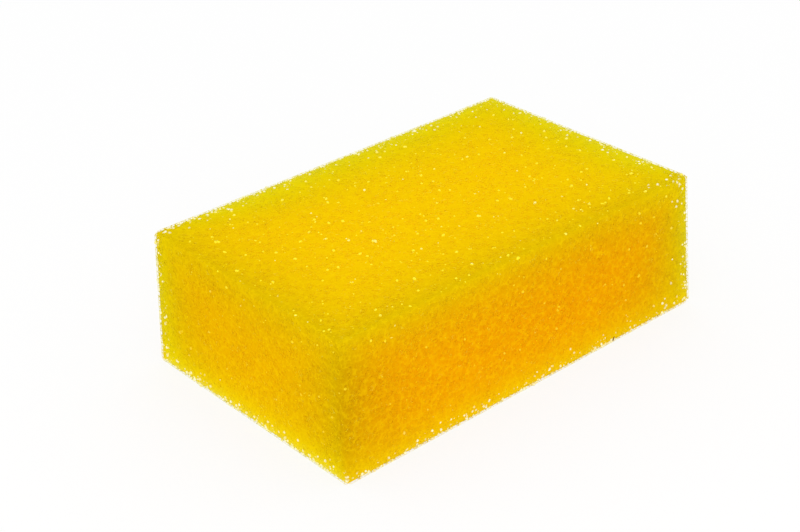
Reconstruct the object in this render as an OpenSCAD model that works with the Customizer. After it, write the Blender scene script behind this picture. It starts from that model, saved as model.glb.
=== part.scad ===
// Cleaning sponge: one block of coarse open-cell foam, sawn on all six sides.
// The base lies on z = 0 with its middle at the origin, and X runs along the length.
// Every saw cut opens some of the foam's largest cells, so each side of the block has
// round pockets in it, and each edge between two sides is notched.

/* [Block] */
// Length of the base
block_l = 162; // [90:1:240]
// Width of the base
block_w = 103; // [60:1:160]
// Height of the block
block_h = 51; // [25:1:90]
// How far each upright side leans in between the base and the top
side_lean = 2; // [0:0.5:4]

/* [Pockets in the sides] */
// Diameter of the largest cell that a cut opens
cell_d = 2.6; // [1.6:0.1:5]
// Share by which the smallest opened cell is narrower than the largest
cell_spread = 0.35; // [0:0.05:0.5]
// Mean distance from one pocket's middle to the next
pocket_pitch = 9; // [8:0.5:16]
// How far a pocket's middle lies from the cut, at most, as a share of its radius
cut_offset = 0.35; // [0:0.05:0.5]
// Least foam between two neighbouring pockets or notches
cell_wall = 1.2; // [0.6:0.1:2]

/* [Notches in the edges] */
// Diameter of the largest notch
notch_d = 2.2; // [1.4:0.1:4]
// Mean distance from one notch to the next
notch_pitch = 8; // [7:0.5:16]

/* [Hidden] */
foam_colour = [0.95, 0.76, 0.04];
top_l = block_l - 2 * side_lean;
top_w = block_w - 2 * side_lean;
mid_l = (block_l + top_l) / 2;
mid_w = (block_w + top_w) / 2;
lean_angle = atan(side_lean / block_h);
// Height of an upright side, measured along its lean
slant_h = block_h / cos(lean_angle);
// Rows of pockets lie closer than the pockets in a row, as in a honeycomb
row_pitch = pocket_pitch * sqrt(3) / 2;
// Largest shifts out of the even pattern that still leave cell_wall on all sides
pocket_shift = (pocket_pitch - cell_d - cell_wall) / (2 * sqrt(2));
notch_shift = (notch_pitch - notch_d - cell_wall) / 2;
// Bare strip along each edge of a side, which is left to the notches
pocket_margin = (cell_d + notch_d) / 2 + cell_wall + pocket_shift;
// Bare stretch at each end of an edge, which keeps the block's corners whole
notch_margin = notch_d + cell_wall + notch_shift;
// Seeds of the scatter, one for each row of notches and field of pockets
notch_seed = 100;
pocket_seed = 200;

// Radius of one opened cell: chance is between 0 and 1
function cell_r(largest_d, chance) = largest_d / 2 * (1 - cell_spread * chance);

// A corner of the block: sx and sy are -1 or 1, and level is 0 at the base and 1 at the top
function corner(sx, sy, level) = [
    sx * (block_l / 2 - side_lean * level),
    sy * (block_w / 2 - side_lean * level),
    block_h * level
];

// A bar along Y with the block's outline seen from its end: base_w wide below, leaning in above
module leaning_bar(base_w, bar_l) {
    top_half = base_w / 2 - side_lean;
    rotate([90, 0, 0])
        linear_extrude(bar_l, center = true)
            polygon([[-base_w / 2, 0], [base_w / 2, 0], [top_half, block_h], [-top_half, block_h]]);
}

// The block before its cells are opened: two leaning bars crossed
module sawn_block() {
    intersection() {
        leaning_bar(block_l, 2 * block_w);
        rotate([0, 0, 90]) leaning_bar(block_w, 2 * block_l);
    }
}

// Cells opened by one cut, over a side that is u by v, with the foam below z = 0
module pocket_field(u, v, seed) {
    columns = floor((u - 2 * pocket_margin - pocket_pitch / 2) / pocket_pitch);
    rows = floor((v - 2 * pocket_margin) / row_pitch);
    if (columns >= 0 && rows >= 0) {
        chance = rands(0, 1, 4 * (columns + 1) * (rows + 1), seed);
        for (row = [0:rows], column = [0:columns]) {
            first = 4 * (row * (columns + 1) + column);
            stagger = row % 2 == 0 ? -pocket_pitch / 4 : pocket_pitch / 4;
            r = cell_r(cell_d, chance[first]);
            translate([
                (column - columns / 2) * pocket_pitch + stagger + (2 * chance[first + 1] - 1) * pocket_shift,
                (row - rows / 2) * row_pitch + (2 * chance[first + 2] - 1) * pocket_shift,
                (2 * chance[first + 3] - 1) * r * cut_offset
            ])
                sphere(r = r, $fn = 24);
        }
    }
}

// Cells opened along the edge between two corners
module notch_row(from, to, seed) {
    edge_l = norm(to - from);
    last = floor((edge_l - 2 * notch_margin) / notch_pitch);
    if (last >= 0) {
        chance = rands(0, 1, 2 * (last + 1), seed);
        for (i = [0:last]) {
            run = edge_l / 2 + (i - last / 2) * notch_pitch + (2 * chance[2 * i] - 1) * notch_shift;
            translate(from + (to - from) * run / edge_l)
                sphere(r = cell_r(notch_d, chance[2 * i + 1]), $fn = 24);
        }
    }
}

// Pockets in the top, the base and the four upright sides
module side_pockets() {
    translate([0, 0, block_h]) pocket_field(top_l, top_w, pocket_seed);
    mirror([0, 0, 1]) pocket_field(block_l, block_w, pocket_seed + 1);
    for (turn = [0:3]) {
        along = turn % 2 == 0 ? top_l : top_w;
        across = turn % 2 == 0 ? mid_w : mid_l;
        rotate([0, 0, 90 * turn])
            translate([0, -across / 2, block_h / 2])
                rotate([90 - lean_angle, 0, 0])
                    pocket_field(along, slant_h, pocket_seed + 2 + turn);
    }
}

// Notches in the four edges of the base, the four of the top and the four upright ones
module edge_notches() {
    for (s = [-1, 1], level = [0, 1]) {
        seed = notch_seed + 10 * (s + 1) + level;
        notch_row(corner(-1, s, level), corner(1, s, level), seed);
        notch_row(corner(s, -1, level), corner(s, 1, level), seed + 2);
        notch_row(corner(s, 2 * level - 1, 0), corner(s, 2 * level - 1, 1), seed + 4);
    }
}

module foam_block() {
    color(foam_colour)
        difference() {
            sawn_block();
            side_pockets();
            edge_notches();
        }
}

foam_block();
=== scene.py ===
# %% [markdown]
# # A cleaning sponge of coarse yellow foam
# The object is one block of open-cell foam, sawn flat on all six sides. Foam of this kind
# is a froth that has set hard: thousands of round cells pressed together, of which only
# the edges are left as thin struts, with a skin of film left in a few of the windows
# between cells. Light gets in through the open cells, which is why the block seems to
# glow, and why its edges look like lace.
#
# Three ways to make it come to mind. A plain block with a bumpy material is quick, but its
# outline stays dead straight. Carving cells out of a solid gives a honeycomb with thick
# walls. This script builds the froth itself: a real network of struts in a thin outer
# layer, over a pitted core that stands for the foam too deep to see. Small beads of film
# then give the sparks of light, in colours that are painted highlights, and node groups
# paint the foam's light and shade into its colour from the depth.

# %% The imported model as a fixed frame
import itertools
import math

import bmesh
import bpy
import numpy as np
from mathutils import Matrix, Vector


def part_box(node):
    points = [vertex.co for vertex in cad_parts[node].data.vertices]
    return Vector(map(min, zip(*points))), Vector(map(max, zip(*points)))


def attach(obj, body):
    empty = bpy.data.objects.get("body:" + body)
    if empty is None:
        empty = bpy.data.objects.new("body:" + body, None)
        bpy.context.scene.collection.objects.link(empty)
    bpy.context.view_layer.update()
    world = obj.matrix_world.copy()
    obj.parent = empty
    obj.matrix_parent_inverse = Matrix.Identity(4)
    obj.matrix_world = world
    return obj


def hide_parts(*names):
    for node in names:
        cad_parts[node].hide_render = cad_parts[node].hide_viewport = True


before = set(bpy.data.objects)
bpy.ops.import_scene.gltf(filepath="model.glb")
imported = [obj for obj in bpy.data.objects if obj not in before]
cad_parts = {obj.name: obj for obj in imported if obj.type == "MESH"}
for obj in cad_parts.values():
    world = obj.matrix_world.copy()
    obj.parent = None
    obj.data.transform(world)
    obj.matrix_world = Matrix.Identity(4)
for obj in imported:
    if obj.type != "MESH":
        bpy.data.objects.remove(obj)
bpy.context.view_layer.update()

NODE = "foam_block"
BODY = "root"

# %% [markdown]
# ## Sizes
# The block's length, width and height come from the imported model, so that nothing has to be
# fitted by hand. The rest are the foam's own sizes. A coarse cleaning foam has cells a
# little under 2 mm across, and struts of about a fifth of a millimetre.
#
# The edges are of two kinds. Those at the front are dense and almost straight. Those at
# the back and round the foot are airy: light comes through them from behind, and shows
# them as lace with white dots. That light and the white of the dots are painted into the
# colours further down.

# %% Sizes, in metres
MM = 0.001
low, high = (np.array(corner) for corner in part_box(NODE))
LENGTH, WIDTH, HEIGHT = high - low
LEAN = 2 * MM             # how far each upright side leans in, from the base to the top

UNIT = 3.2 * MM           # edge of the cube of froth that holds eight cells
CELL = UNIT / 2           # about the distance between two neighbouring cell middles
STRUT = 0.18 * MM         # width of a strut at its ends
RIM = 0.14 * MM           # width of the sawn edge of a film, at its ends
RIM_REACH = 3.0 * MM      # how far from an airy edge of the block every rim is made
SMOOTH_BAND = 2.0 * MM    # along the dense edges no cell this near stands open
CORE_INSET = 0.07 * MM    # how far the core lies behind the sawn sides
CORE_ROUND = 0.5 * MM     # rounding of the core along the dense edges
LACE_ROUND = 1.0 * MM     # rounding of the core along the airy edges, where more lace shows
FOOT_HEIGHT = 8 * MM      # the upright edges grow airy below this height
BACK_FADE = 0.08          # width of the step from dense to airy edges, as a share of the block
GLOW_FADE = 0.30          # the same for the glow of the light from behind
TOP_LAG = 0.15            # how much further back that glow starts on the top
EMBED = 0.1 * MM          # how far the struts reach into the core
SHORTEST_STUB = 0.15 * MM # a sawn-off strut shorter than this is left out
LONGEST_SLIVER = 3.0 * MM # a longer gap between the bits of film along an edge stays open
print("block %.0f x %.0f x %.0f mm" % tuple((high - low) / MM))

# %% [markdown]
# ## Froth
# A froth of equal cells can't be packed from cubes or balls. The best packing known has two
# kinds of cell, with twelve and fourteen windows, and most of those windows have five
# sides, which is what makes foam look like foam. Eight cells fill a cube that repeats.
#
# Only the eight middles are needed. Four cells meet at each corner of the froth, and there
# is a corner wherever a ball through four middles holds no other middle. So the corners of
# one cube are found by testing small groups of middles.

# %% Corners of the froth in one repeating cube
MIDDLES = np.array([
    (0, 0, 0), (0.5, 0.5, 0.5),
    (0.5, 0, 0.25), (0.5, 0, 0.75),
    (0.25, 0.5, 0), (0.75, 0.5, 0),
    (0, 0.25, 0.5), (0, 0.75, 0.5),
])
REACH = 0.9               # no two cells that touch have middles further apart, in cubes
FLAT = 1e-6               # determinant below which three directions lie in one plane
SLACK = 1e-7              # room for rounding errors, in cubes


def settled(cells):
    """The group of cells, moved so that all its copies in the pattern read alike, and the move."""
    choices = []
    for a, b, c, _ in cells:
        moved = sorted((i - a, j - b, k - c, cell) for i, j, k, cell in cells)
        choices.append((tuple(moved), (a, b, c)))
    return min(choices)


def froth_corners():
    """Groups of four cells that meet at a corner. A cell is its cube's i, j, k and its number."""
    cubes = list(itertools.product((-1, 0, 1), repeat=3))
    names = [(*cube, cell) for cube in cubes for cell in range(len(MIDDLES))]
    places = np.array([np.array(name[:3]) + MIDDLES[name[3]] for name in names])
    found = set()
    for cell, middle in enumerate(MIDDLES):
        away = np.linalg.norm(places - middle, axis=1)
        near = np.flatnonzero((away > SLACK) & (away < REACH))
        for three in itertools.combinations(near, 3):
            others = places[list(three)]
            rows = 2 * (others - middle)
            if abs(np.linalg.det(rows)) < FLAT:
                continue
            ball = np.linalg.solve(rows, (others**2).sum(1) - (middle**2).sum())
            radius = np.linalg.norm(ball - middle)
            if (np.linalg.norm(places - ball, axis=1) > radius - SLACK).all():
                group = [(0, 0, 0, cell)] + [names[i] for i in three]
                found.add(settled(group)[0])
    return sorted(found)


CORNERS = froth_corners()
print(len(CORNERS), "corners in a cube of", len(MIDDLES), "cells")

# %% [markdown]
# Two corners that share three cells are the ends of one strut. All corners round the same
# pair of cells are the rim of the window between them, and they are put in order by
# walking from one to the next that shares a third cell.

# %% Struts and windows of the froth
def shared(size):
    """For each group of `size` cells: its corners, as (corner, cube, the corner's other cells)."""
    groups = {}
    for corner, cells in enumerate(CORNERS):
        for chosen in itertools.combinations(cells, size):
            key, (a, b, c) = settled(chosen)
            rest = {(i - a, j - b, k - c, n) for i, j, k, n in cells} - set(key)
            groups.setdefault(key, []).append((corner, (-a, -b, -c), rest))
    return groups


def froth_struts():
    """Pairs of corners, with the cube of the second as seen from the first."""
    struts = []
    for (first, cube_1, _), (second, cube_2, _) in shared(3).values():
        struts.append((first, second, tuple(np.subtract(cube_2, cube_1))))
    return struts


def froth_windows():
    """Windows: for each, the two cells it parts, and its corners in order, with their cubes."""
    windows = []
    for cells, around in shared(2).items():
        rim = [around[0]]
        ahead = sorted(around[0][2])[0]
        while len(rim) < len(around):
            step = next(one for one in around if ahead in one[2] and one not in rim)
            rim.append(step)
            ahead = (step[2] - {ahead}).pop()
        windows.append((cells, [(corner, cube) for corner, cube, _ in rim]))
    return windows


STRUTS = froth_struts()
WINDOWS = froth_windows()
sides = [len(rim) for _, rim in WINDOWS]
print(len(STRUTS), "struts,", {n: sides.count(n) for n in sorted(set(sides))}, "windows by sides")

# %% [markdown]
# ## Where the block ends
# Two distances decide which struts are kept: how far a point lies inside the sawn sides,
# and how far it lies outside the core. The core is the block drawn in a little and
# rounded, more along the airy edges than along the dense ones, so that more lace shows
# there. A third number says which edge is airy: a line across the block from its left to
# its right corner parts the front from the back, and a short step makes the change soft.

# %% Distances inside the block and outside the core
UPRIGHT = math.cos(math.atan(LEAN / HEIGHT))


def side_depths(points):
    """How far inside the nearer short, long and flat side each point lies."""
    lean = LEAN * points[..., 2] / HEIGHT
    long_way = (LENGTH / 2 - lean - abs(points[..., 0])) * UPRIGHT
    short_way = (WIDTH / 2 - lean - abs(points[..., 1])) * UPRIGHT
    upward = np.minimum(points[..., 2], HEIGHT - points[..., 2])
    return np.stack([long_way, short_way, upward], axis=-1)


def depth_inside(points):
    return side_depths(points).min(axis=-1)


def airy(points):
    """1 behind the line from the left to the right corner and at the foot, 0 in front of it."""
    across = points[..., 0] / LENGTH + points[..., 1] / WIDTH
    return np.clip(np.maximum(across / BACK_FADE + 1, 1 - points[..., 2] / FOOT_HEIGHT), 0, 1)


def outside_core(points):
    rounding = CORE_ROUND + (LACE_ROUND - CORE_ROUND) * airy(points)
    beyond = np.maximum(rounding[..., None] - (side_depths(points) - CORE_INSET), 0)
    return np.linalg.norm(beyond, axis=-1) - rounding


# %% [markdown]
# ## Filling the outer layer
# The cube of cells is repeated through a shell round the core. Left like that, the block
# would show rows of equal cells, as no real foam does. Three things hide them. The whole
# froth is turned, so that no saw cut runs along a row of cells, slow waves sway the rows,
# and later each cell is shaken by itself. All that is random comes from one seed.

# %% Turn and sway of the froth
TURN = (0.41, 0.53, 0.29) # radians about X, Y and Z
WAVES = 6
WAVE_LENGTHS = (14 * MM, 30 * MM)
SWAY = 0.5 * MM           # how far each wave pushes a row of cells
SEED = 7
random = np.random.default_rng(SEED)

turn = np.eye(3)
for axis, angle in zip("XYZ", TURN):
    turn = turn @ np.array(Matrix.Rotation(angle, 3, axis))
headings = random.normal(size=(WAVES, 3))
headings /= np.linalg.norm(headings, axis=1, keepdims=True)
headings *= 2 * math.pi / random.uniform(*WAVE_LENGTHS, (WAVES, 1))
phases = random.uniform(0, 2 * math.pi, WAVES)
pushes = random.normal(size=(WAVES, 3))
pushes *= SWAY / np.linalg.norm(pushes, axis=1, keepdims=True)


def in_block(points):
    """Moves points of the even froth, in metres, to where they lie in the block."""
    turned = points @ turn.T
    swayed = turned + np.sin(turned @ headings.T + phases) @ pushes
    return swayed + (0, 0, HEIGHT / 2)


print("turned by", [round(math.degrees(angle)) for angle in TURN], "degrees, swayed by", WAVES, "waves")

# %% [markdown]
# Cubes are laid in a grid that is larger than the block, and only those whose middle is in
# or near the outer layer are kept. Each cell gets its own small shake. A quarter of the
# cells are marked as open: these are the ones that lost their films. Where the saw meets
# one, it shows as a round pit with a rim.

# %% Cubes of froth in the outer layer
SHAKE = 0.10              # how far a cell's middle is shaken, as a share of a cube's edge
OPEN_SHARE = 0.25         # share of cells that stand open, with a rim of film where they're sawn
HALF_SPAN = 0.6           # how far cubes are laid each way, as a share of the block's diagonal
MARGIN = 1.3 * UNIT       # how far a cube's middle may lie outside the layer that is filled

half_count = math.ceil(HALF_SPAN * math.hypot(LENGTH, WIDTH, HEIGHT) / UNIT)
steps = np.arange(-half_count, half_count + 1)
cubes = np.stack(np.meshgrid(steps, steps, steps, indexing="ij"), axis=-1).reshape(-1, 3)
cube_middles = in_block((cubes + 0.5) * UNIT)
in_shell = (depth_inside(cube_middles) > -MARGIN) & (outside_core(cube_middles) > -MARGIN)
cubes = cubes[in_shell]
origin = half_count + 1   # place of the middle cube in the tables below, which have room for neighbours
number_of = np.full((len(steps) + 2,) * 3, -1)
number_of[tuple((cubes + origin).T)] = np.arange(len(cubes))
shaken = random.normal(size=(len(steps) + 3,) * 3 + MIDDLES.shape) * SHAKE
is_open = random.random((len(steps) + 3,) * 3 + (len(MIDDLES),)) < OPEN_SHARE
print(len(cubes), "cubes of froth, %.0f %% of the cells open" % (100 * is_open.mean()))

# %% [markdown]
# A corner of the froth lies half way between its four cells, so its place follows from
# theirs, shake and all. Cells that touch share their corners, and the froth stays whole.

# %% Corners of the froth in the block
corner_points = np.zeros((len(cubes), len(CORNERS), 3))
for corner, cells in enumerate(CORNERS):
    for i, j, k, cell in cells:
        cube = cubes + (i, j, k)
        middle = cube + MIDDLES[cell] + shaken[(*(cube + origin).T, cell)]
        corner_points[:, corner] += middle / len(cells)
points = in_block(corner_points.reshape(-1, 3) * UNIT)
print(len(points), "corners")


def corner_number(corner, cube):
    """Index in `points` of one kind of corner, for every cube of the shell moved by `cube`, or -1."""
    which = number_of[tuple((cubes + cube + origin).T)]
    return np.where(which >= 0, which * len(CORNERS) + corner, -1)


# %% [markdown]
# ## Sawing it out
# A strut is kept if it reaches out of the core and into the block. One that crosses a
# sawn side is cut off there, as the saw does. The place of the cut is found by halving:
# each step tries the middle of what is left, and keeps the half that the side runs through.

# %% Struts cut to the block
HALVINGS = 20             # steps in which the place of a cut is closed in on

strut_ends = []
for first, second, cube in STRUTS:
    ends = np.stack([corner_number(first, (0, 0, 0)), corner_number(second, cube)], axis=1)
    strut_ends.append(ends[(ends >= 0).all(axis=1)])
strut_ends = np.concatenate(strut_ends)

inside = depth_inside(points) > 0
from_core = outside_core(points)
wanted = inside[strut_ends].any(axis=1) & (from_core[strut_ends] > -EMBED).any(axis=1)
strut_ends = strut_ends[wanted]

whole = inside[strut_ends].all(axis=1)
sawn = strut_ends[~whole]
sawn = np.where(inside[sawn[:, :1]], sawn, sawn[:, ::-1])
kept_end, lost_end = points[sawn[:, 0]], points[sawn[:, 1]]
share_in, share_out = np.zeros(len(sawn)), np.ones(len(sawn))
for _ in range(HALVINGS):
    half = (share_in + share_out) / 2
    still_in = depth_inside(kept_end + (lost_end - kept_end) * half[:, None]) > 0
    share_in = np.where(still_in, half, share_in)
    share_out = np.where(still_in, share_out, half)
cut_points = kept_end + (lost_end - kept_end) * share_in[:, None]
long_enough = np.linalg.norm(cut_points - kept_end, axis=1) > SHORTEST_STUB
cut_number = np.where(long_enough, len(points) + np.cumsum(long_enough) - 1, sawn[:, 0])
stubs = np.stack([sawn[:, 0], cut_number], axis=1)[long_enough]
net_points = np.concatenate([points, cut_points[long_enough]])
net = np.concatenate([strut_ends[whole], stubs])
print(len(net), "struts, of which", len(stubs), "are sawn off")

# %% [markdown]
# The saw also goes through the films between cells, and leaves a thin rim on the sawn side
# where it did. A rim joins two sawn struts of the same window. Where a window was cut by
# two sides at once, its rim goes by way of the block's edge.
#
# All these rims together would cover the block like a wire mesh. Most films crumbled
# under the saw, so only two kinds are kept further down: the rims round an open cell, and
# those near an airy edge, where they close the outline of the block.

# %% Helpers for rims
def in_every_cube(window):
    """A window's corners in every cube that has them all, and whether it's by an open cell."""
    cells, corners = window
    numbers = np.stack([corner_number(corner, cube) for corner, cube in corners], axis=1)
    beside_open = np.zeros(len(cubes), bool)
    for i, j, k, cell in cells:
        beside_open |= is_open[(*(cubes + (i, j, k) + origin).T, cell)]
    complete = (numbers >= 0).all(axis=1)
    return numbers[complete], beside_open[complete]


def pair_key(first, second):
    return np.minimum(first, second) * len(points) + np.maximum(first, second)


def onto_edge(places, first_side, second_side):
    """Moves each place to where two sides meet: side 0 is a short one, 1 a long and 2 a flat one."""
    moved = places.copy()
    for _ in range(2):    # twice, because how far a side leans in depends on the height
        level = LEAN * moved[:, 2] / HEIGHT
        for axis, size in enumerate((LENGTH, WIDTH)):
            meets = (first_side == axis) | (second_side == axis)
            moved[meets, axis] = np.sign(moved[meets, axis]) * (size / 2 - level[meets])
        meets = (first_side == 2) | (second_side == 2)
        moved[meets, 2] = np.where(moved[meets, 2] > HEIGHT / 2, HEIGHT, 0)
    return moved


# %% [markdown]
# A window that the saw went through once has two sawn edges, and the few that it went
# through twice are left out. Each sawn edge is a strut that was cut above, and is looked
# up by its two ends. If both cuts lie on the same side of the block, one straight rim
# joins them, else two that meet on the block's edge.

# %% Rims of the sawn windows
sawn_keys = pair_key(sawn[:, 0], sawn[:, 1])
by_key = np.argsort(sawn_keys)
cut_side = side_depths(cut_points).argmin(axis=1)
rim_cuts, rim_open = [], []
for window in WINDOWS:
    ring, beside_open = in_every_cube(window)
    after = np.roll(ring, -1, axis=1)
    crossing = inside[ring] != inside[after]
    once = crossing.sum(axis=1) == 2
    keys = pair_key(ring[once], after[once])[crossing[once]].reshape(-1, 2)
    cuts = by_key[np.searchsorted(sawn_keys[by_key], keys)]
    rim_cuts.append(cuts)
    rim_open.append(beside_open[once])
rim_cuts, rim_open = np.concatenate(rim_cuts), np.concatenate(rim_open)
rim_ends, rim_sides = cut_number[rim_cuts], cut_side[rim_cuts]
one_side = rim_sides[:, 0] == rim_sides[:, 1]
bent, bent_sides = rim_ends[~one_side], rim_sides[~one_side]
bends = onto_edge(cut_points[rim_cuts[~one_side]].mean(axis=1), bent_sides[:, 0], bent_sides[:, 1])
bend_numbers = len(net_points) + np.arange(len(bends))
net_points = np.concatenate([net_points, bends])
rims = np.concatenate([
    rim_ends[one_side],
    np.stack([bent[:, 0], bend_numbers], axis=1),
    np.stack([bend_numbers, bent[:, 1]], axis=1)])
rim_open = np.concatenate([rim_open[one_side], rim_open[~one_side], rim_open[~one_side]])
rims, rim_open = rims[rims[:, 0] != rims[:, 1]], rim_open[rims[:, 0] != rims[:, 1]]
print(len(rims), "rims,", len(bends), "of them bent over an edge of the block")

# %% [markdown]
# Along an airy edge bits of film hang from one sawn window to the next. Without them the
# edge would be a row of loose ends. So the bends found above are put in order along each
# edge of the block, and every two neighbours that aren't too far apart are joined.

# %% Slivers of film along the edges of the block
along = 3 - bent_sides.sum(axis=1)
which_side = np.sign(bends - (0, 0, HEIGHT / 2))
which_side[np.arange(len(bends)), along] = 0
_, block_edge = np.unique(np.round(np.column_stack([along, which_side])), axis=0, return_inverse=True)
block_edge = block_edge.ravel()
order = np.lexsort((bends[np.arange(len(bends)), along], block_edge))
slivers = np.stack([order[:-1], order[1:]], axis=1)
gap = np.linalg.norm(bends[slivers[:, 0]] - bends[slivers[:, 1]], axis=1)
same_edge = block_edge[slivers[:, 0]] == block_edge[slivers[:, 1]]
in_lace = airy(bends[slivers].mean(axis=1)) > 0.5
slivers = bend_numbers[slivers[same_edge & in_lace & (gap < LONGEST_SLIVER)]]
rims = np.concatenate([rims, slivers])
rim_open = np.concatenate([rim_open, np.zeros(len(slivers), bool)])
print(len(slivers), "slivers along", block_edge.max() + 1, "edges")

# %% [markdown]
# A few bits now hang on nothing. They are found by spreading a mark from the core along
# struts and rims, over and over until it reaches nothing new: what stays unmarked goes.
# Of the rims, only the two kinds named above are kept.

# %% Struts and rims that hang on the core
held = np.zeros(len(net_points), bool)
held[:len(points)] = from_core < -EMBED / 2
reached = 0
everything = np.concatenate([net, rims])
while held.sum() > reached:
    reached = held.sum()
    held[everything[held[everything].any(axis=1)]] = True
net = net[held[net].all(axis=1)]
rim_held = held[rims].all(axis=1)
rims, rim_open = rims[rim_held], rim_open[rim_held]
rim_middles = net_points[rims].mean(axis=1)
to_edge = np.sort(side_depths(rim_middles), axis=1)[:, 1]
in_lace = to_edge < RIM_REACH * airy(rim_middles)
rims = rims[in_lace | (rim_open & (to_edge > SMOOTH_BAND * (1 - airy(rim_middles))))]
lengths = np.linalg.norm(net_points[net[:, 0]] - net_points[net[:, 1]], axis=1)
print(len(net), "struts of %.2f mm on average and" % (lengths.mean() / MM), len(rims), "rims")

# %% [markdown]
# ## Helpers for node trees
# Geometry Nodes and shader nodes are both built here in code. One helper adds a node, sets
# its options and fills its inputs: an input that is given another node's output is linked,
# and any other value is typed in. Two more are shorthand for sums. The other helpers make
# a group with named inputs, a plain mesh from a tree, and a plain mesh from lists.

# %% Node helpers
def add(tree, kind, into=None, **options):
    node = tree.nodes.new(kind)
    for name, value in options.items():
        setattr(node, name, value)
    for key, value in (into or {}).items():
        if isinstance(value, bpy.types.NodeSocket):
            tree.links.new(value, node.inputs[key])
        else:
            node.inputs[key].default_value = value
    return node


def calc(tree, operation, *values):
    return add(tree, "ShaderNodeMath", dict(enumerate(values)), operation=operation).outputs[0]


def vector_calc(tree, operation, *values):
    node = add(tree, "ShaderNodeVectorMath", dict(enumerate(values)), operation=operation)
    return node.outputs["Value" if operation in ("LENGTH", "DOT_PRODUCT") else "Vector"]


def new_group(name, kind, inputs, outputs):
    """A node group with named sockets, each (name, type), and its group input's outputs."""
    tree = bpy.data.node_groups.new(name, kind)
    for way, sockets in (("INPUT", inputs), ("OUTPUT", outputs)):
        for socket_name, socket_kind in sockets:
            tree.interface.new_socket(socket_name, in_out=way, socket_type="NodeSocket" + socket_kind)
    return tree, tree.nodes.new("NodeGroupInput").outputs


def applied(name, mesh, tree, material, **values):
    """The plain mesh object that a tree makes from a mesh. The values fill the tree's inputs."""
    source = bpy.data.objects.new(name + "_source", mesh)
    bpy.context.scene.collection.objects.link(source)
    modifier = source.modifiers.new("nodes", "NODES")
    modifier.node_group = tree
    values["Material"] = material
    for item in tree.interface.items_tree:
        keyword = item.name.replace(" ", "_")
        if item.in_out == "INPUT" and keyword in values:
            modifier[item.identifier] = values[keyword]
    graph = bpy.context.evaluated_depsgraph_get()
    made = bpy.data.meshes.new_from_object(source.evaluated_get(graph), depsgraph=graph)
    bpy.data.objects.remove(source)
    piece = bpy.data.objects.new(name, made)
    bpy.context.scene.collection.objects.link(piece)
    triangles = sum(len(face.vertices) - 2 for face in made.polygons)
    print(name, "has", triangles, "triangles")
    return piece


def plain_mesh(name, vertices, edges=(), faces=()):
    mesh = bpy.data.meshes.new(name)
    mesh.from_pydata(vertices, edges, faces)
    return mesh


# %% [markdown]
# Every Geometry Nodes tree below also uses these. A tree works with instances, which are
# light copies of one shape, and its last two nodes turn them into real faces and give them
# their material. Random numbers come from a seed, so they're the same at every run.

# %% Helpers for Geometry Nodes
def random_number(tree, least, most, seed):
    """A number between two limits, another one for each point."""
    limits = {2: least, 3: most, "Seed": seed}
    return add(tree, "FunctionNodeRandomValue", limits, data_type="FLOAT").outputs[1]


def on_each_axis(tree, value):
    """A vector with the same number along X, Y and Z."""
    return add(tree, "ShaderNodeCombineXYZ", {axis: value for axis in "XYZ"}).outputs[0]


def finished(tree, geometry, material):
    """The tree, closed with real faces that have their material."""
    real = add(tree, "GeometryNodeRealizeInstances", {0: geometry})
    done = add(tree, "GeometryNodeSetMaterial", {"Geometry": real.outputs[0], "Material": material})
    add(tree, "NodeGroupOutput", {"Geometry": done.outputs[0]})
    print(tree.name, "is a tree of", len(tree.nodes), "nodes")
    return tree


# %% [markdown]
# ## Struts by Geometry Nodes
# The network so far is only points and edges. A real strut is thick where it meets the
# others and thin half way, because the froth's liquid gathered at the corners. A tube
# swept along each edge would take a dozen faces. Four are enough: a long splinter whose
# two ends are short lines, square to each other, is wide at both ends and slim in the
# middle, and it is closed.
#
# The tree turns each edge into a point at its middle, and puts one splinter on each point,
# aligned with the edge, stretched to its length and rolled at random.

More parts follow.
